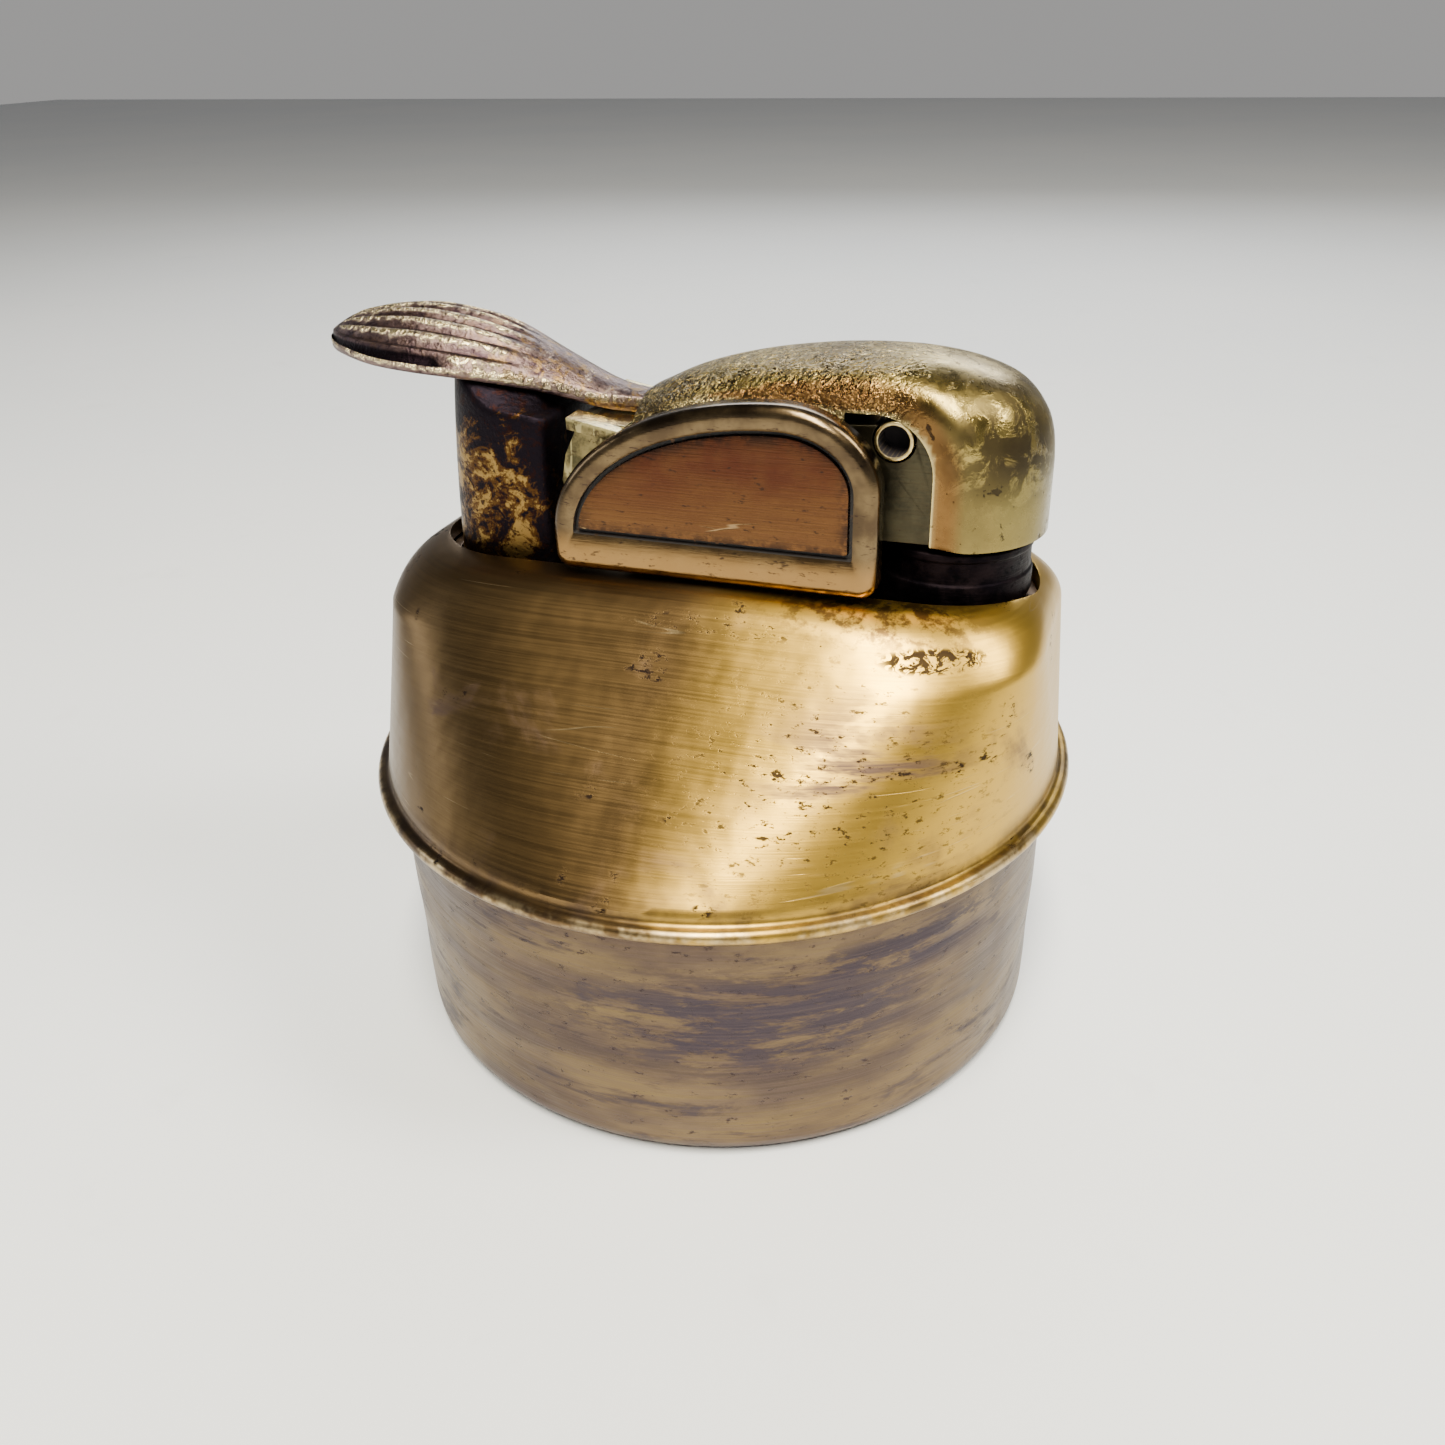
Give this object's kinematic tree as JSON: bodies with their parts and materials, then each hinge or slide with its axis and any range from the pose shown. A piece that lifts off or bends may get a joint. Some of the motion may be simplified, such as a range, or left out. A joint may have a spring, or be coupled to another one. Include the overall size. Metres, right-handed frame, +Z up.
{
  "type": "table lighter insert",
  "caption": "Drop-in table lighter: round fuel cup and dome carrying a thumb lever that raises a hinged snuffer off the wick and turns a flint wheel.",
  "frame": {"origin": "centre of the cup's flat bottom face, the face it stands on", "axes": "+Z up through the cup; +X along the mechanism towards the snuffer, with the thumb pad at -X; the side plates face -Y and +Y"},
  "size_m": [0.0448, 0.0424, 0.0416],
  "materials": {
    "cup_brass": "tarnished satin brass",
    "body_brass": "brushed aged brass",
    "dark_brass": "oxidised brass",
    "plate_brass": "brushed coppery brass with a polished rim",
    "snuffer_brass": "pebbled aged brass",
    "cheek_brass": "dull greenish brass",
    "mottled_brass": "mottled oxidised brass",
    "bright_brass": "bright brass",
    "sooty_brass": "soot-blackened brass",
    "steel": "dull spring steel",
    "flint_metal": "ferrocerium rod",
    "cotton": "absorbent cotton",
    "felt": "pressed felt",
    "fibre": "vulcanised fibre"
  },
  "bodies": {
    "housing": {"base_cup": "cup_brass", "dome_shell": "body_brass", "well_pan": "dark_brass", "mechanism_frame": "steel", "frame_screw_front": "steel", "frame_screw_rear": "steel", "lever_axle": "steel", "snuffer_axle": "steel", "wheel_axle": "steel", "front_side_plate": "plate_brass", "rear_side_plate": "plate_brass", "burner_cup": "sooty_brass", "wick_tube": "bright_brass", "wick": "cotton", "cotton_wadding": "cotton", "felt_pad": "felt", "flint_tube": "bright_brass", "filler_bush": "bright_brass", "filler_gasket": "fibre", "snuffer_spring": "steel", "flint_spring": "steel", "return_spring": "steel"},
    "lever": {"thumb_pad": "dark_brass", "thumb_skirt": "mottled_brass", "lever_yoke": "bright_brass", "ratchet_pawl": "steel", "spring_seat": "steel"},
    "snuffer": {"snuffer_shell": "snuffer_brass", "snuffer_arm": "cheek_brass", "snuffer_pin": "bright_brass", "snuffer_inner_cap": "bright_brass", "lift_stud_front": "steel", "lift_stud_rear": "steel"},
    "spark_wheel": {"flint_wheel": "steel", "ratchet_wheel": "steel"},
    "flint_feed": {"flint": "flint_metal", "flint_plunger": "bright_brass"},
    "filler_plug": {"filler_screw": "bright_brass"},
    "flint_plug": {"flint_screw": "bright_brass"}
  },
  "joints": [
    {"name": "lever_press", "type": "hinge", "parent": "housing", "child": "lever", "pos_m": [-0.0025, 0, 0.0302], "axis": [0, -1, 0], "range_deg": [0, 15], "stiffness_Nm_per_rad": 0.01, "springref_deg": -22.92, "deforming": ["return_spring"]},
    {"name": "snuffer_lift", "type": "hinge", "parent": "housing", "child": "snuffer", "pos_m": [-0.0015, 0, 0.0344], "axis": [0, -1, 0], "range_deg": [0, 25.5]},
    {"name": "wheel_spin", "type": "hinge", "parent": "housing", "child": "spark_wheel", "pos_m": [0.0055, 0, 0.033], "axis": [0, 1, 0], "range_deg": [0, 30]},
    {"name": "flint_push", "type": "slide", "parent": "housing", "child": "flint_feed", "axis": [0, 0, 1], "range_m": [-0.0015, 0], "stiffness_N_per_m": 100, "springref_m": 0.004, "deforming": ["flint_spring"]},
    {"name": "filler_turn", "type": "hinge", "parent": "housing", "child": "filler_plug", "pos_m": [-0.008, 0, 0], "axis": [0, 0, 1], "continuous": true},
    {"name": "flint_screw_turn", "type": "hinge", "parent": "housing", "child": "flint_plug", "pos_m": [0.0055, 0, 0], "axis": [0, 0, 1], "continuous": true}
  ],
  "couplings": [
    {"joint": "snuffer_lift", "follows": "lever_press", "ratio": 1.7},
    {"joint": "wheel_spin", "follows": "lever_press", "ratio": 2}
  ]
}
